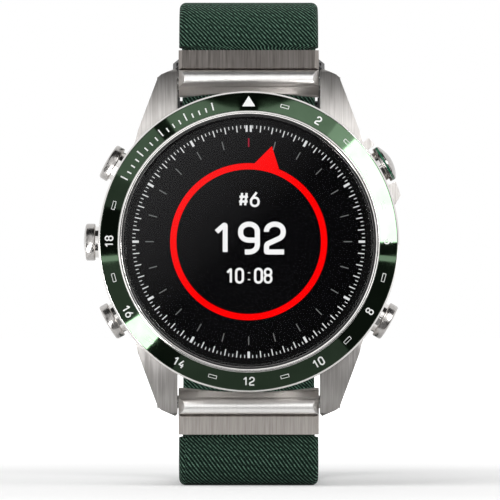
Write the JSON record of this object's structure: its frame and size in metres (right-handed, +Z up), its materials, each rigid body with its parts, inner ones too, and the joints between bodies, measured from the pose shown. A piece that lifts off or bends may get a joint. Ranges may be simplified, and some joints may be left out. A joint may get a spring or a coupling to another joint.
{
  "type": "golf gps watch",
  "caption": "Round golf GPS watch: numbered bezel ring, push buttons, hinged quick-release end links and a woven band closed by a folded hook-and-loop tail.",
  "frame": {"origin": "middle of the flat underside of the closed band, on which the watch stands, below the dial's vertical centre line", "axes": "+Z up the dial towards its twelve o'clock mark, -Y the way the dial faces, +X to the right of a reader"},
  "size_m": [0.0487, 0.0648, 0.075],
  "materials": {
    "titanium_brushed": "satin",
    "titanium_polished": "polished",
    "ceramic_green": "gloss",
    "sapphire": "polished",
    "gasket_black": "matte",
    "display_glass": "gloss",
    "light_alloy": "matte",
    "antenna_film": "satin",
    "board_laminate": "satin",
    "steel_plain": "satin",
    "black_plastic": "matte",
    "battery_foil": "satin",
    "rotor_brass": "satin",
    "led_lens": "gloss",
    "sensor_glass": "polished",
    "contact_gold": "polished",
    "spring_steel": "polished",
    "green_enamel": "gloss",
    "band_weave": "matte",
    "black_steel": "satin",
    "loop_pile": "matte",
    "hook_tape": "matte"
  },
  "bodies": {
    "head": {"case_body": "titanium_brushed", "bezel_ring": "titanium_polished", "bezel_insert": "ceramic_green", "crystal": "sapphire", "crystal_gasket": "gasket_black", "display_spacer": "black_plastic", "display_panel": "display_glass", "display_chassis": "light_alloy", "gps_antenna": "antenna_film", "main_board": "board_laminate", "shield_cans": "steel_plain", "board_screws": "steel_plain", "button_switches": "black_plastic", "battery": "battery_foil", "motor_can": "steel_plain", "sensor_board": "board_laminate", "sensor_leds": "led_lens", "sensor_photodiodes": "display_glass", "sensor_window": "sensor_glass", "charge_block": "black_plastic", "charge_pins": "contact_gold", "back_gasket": "gasket_black", "back_cover": "titanium_brushed", "back_screws": "steel_plain", "lug_pins": "steel_plain", "lug_screws": "steel_plain", "button_tubes": "titanium_polished", "button_seals": "gasket_black", "light_spring": "spring_steel", "up_spring": "spring_steel", "down_spring": "spring_steel", "start_spring": "spring_steel", "back_spring": "spring_steel"},
    "light_cap": {"light_button": "titanium_polished", "light_clip": "black_steel"},
    "up_cap": {"up_button": "titanium_polished", "up_clip": "black_steel"},
    "down_cap": {"down_button": "titanium_polished", "down_clip": "black_steel"},
    "start_cap": {"start_button": "titanium_polished", "start_clip": "black_steel", "start_band": "green_enamel"},
    "back_cap": {"back_button": "titanium_polished", "back_clip": "black_steel"},
    "rotor": {"motor_rotor": "rotor_brass"},
    "upper_end": {"upper_link": "titanium_brushed", "upper_latch_springs": "spring_steel", "upper_band_pin": "steel_plain"},
    "upper_release": {"upper_latch": "titanium_brushed"},
    "lower_end": {"lower_link": "titanium_brushed", "lower_latch_springs": "spring_steel", "lower_band_pin": "steel_plain"},
    "lower_release": {"lower_latch": "titanium_brushed"},
    "band": {"short_band": "band_weave", "long_band": "band_weave", "loop_patch": "loop_pile"},
    "slide_ring": {"ring": "black_steel"},
    "tail": {"tail": "band_weave", "hook_patch": "hook_tape"}
  },
  "joints": [
    {"name": "light_press", "type": "slide", "parent": "head", "child": "light_cap", "axis": [0.866, 0, -0.5], "range_m": [0, 0.0005], "stiffness_N_per_m": 400, "springref_m": -0.001, "deforming": ["light_spring"]},
    {"name": "up_press", "type": "slide", "parent": "head", "child": "up_cap", "axis": [1, 0, 0], "range_m": [0, 0.0005], "stiffness_N_per_m": 400, "springref_m": -0.001, "deforming": ["up_spring"]},
    {"name": "down_press", "type": "slide", "parent": "head", "child": "down_cap", "axis": [0.866, 0, 0.5], "range_m": [0, 0.0005], "stiffness_N_per_m": 400, "springref_m": -0.001, "deforming": ["down_spring"]},
    {"name": "start_press", "type": "slide", "parent": "head", "child": "start_cap", "axis": [-0.866, 0, -0.5], "range_m": [0, 0.0005], "stiffness_N_per_m": 400, "springref_m": -0.001, "deforming": ["start_spring"]},
    {"name": "back_press", "type": "slide", "parent": "head", "child": "back_cap", "axis": [-0.866, 0, 0.5], "range_m": [0, 0.0005], "stiffness_N_per_m": 400, "springref_m": -0.001, "deforming": ["back_spring"]},
    {"name": "rotor_spin", "type": "hinge", "parent": "head", "child": "rotor", "pos_m": [0, -0.019, 0.0231], "axis": [0, 1, 0], "continuous": true},
    {"name": "upper_tilt", "type": "hinge", "parent": "head", "child": "upper_end", "pos_m": [0, -0.01575, 0.0621], "axis": [1, 0, 0], "range_deg": [-8, 8]},
    {"name": "lower_tilt", "type": "hinge", "parent": "head", "child": "lower_end", "pos_m": [0, -0.01575, 0.0129], "axis": [1, 0, 0], "range_deg": [-8, 8]},
    {"name": "band_tilt", "type": "hinge", "parent": "upper_end", "child": "band", "pos_m": [0, -0.01575, 0.0659], "axis": [1, 0, 0], "range_deg": [-8, 8]},
    {"name": "upper_release", "type": "slide", "parent": "upper_end", "child": "upper_release", "axis": [0, 0, 1], "range_m": [0, 0.0017], "stiffness_N_per_m": 150, "springref_m": -0.001, "deforming": ["upper_latch_springs"]},
    {"name": "lower_release", "type": "slide", "parent": "lower_end", "child": "lower_release", "axis": [0, 0, -1], "range_m": [0, 0.0017], "stiffness_N_per_m": 150, "springref_m": -0.001, "deforming": ["lower_latch_springs"]},
    {"name": "ring_swing", "type": "hinge", "parent": "band", "child": "slide_ring", "pos_m": [0, 0.02025, 0.0664], "axis": [1, 0, 0], "range_deg": [-1.5, 1.5]},
    {"name": "tail_fold", "type": "hinge", "parent": "band", "child": "tail", "pos_m": [0, 0.02539, 0.06027], "axis": [1, 0, 0], "range_deg": [0, 120]}
  ],
  "couplings": [
    {"joint": "lower_tilt", "follows": "upper_tilt", "ratio": -1},
    {"joint": "band_tilt", "follows": "upper_tilt", "ratio": -1}
  ]
}
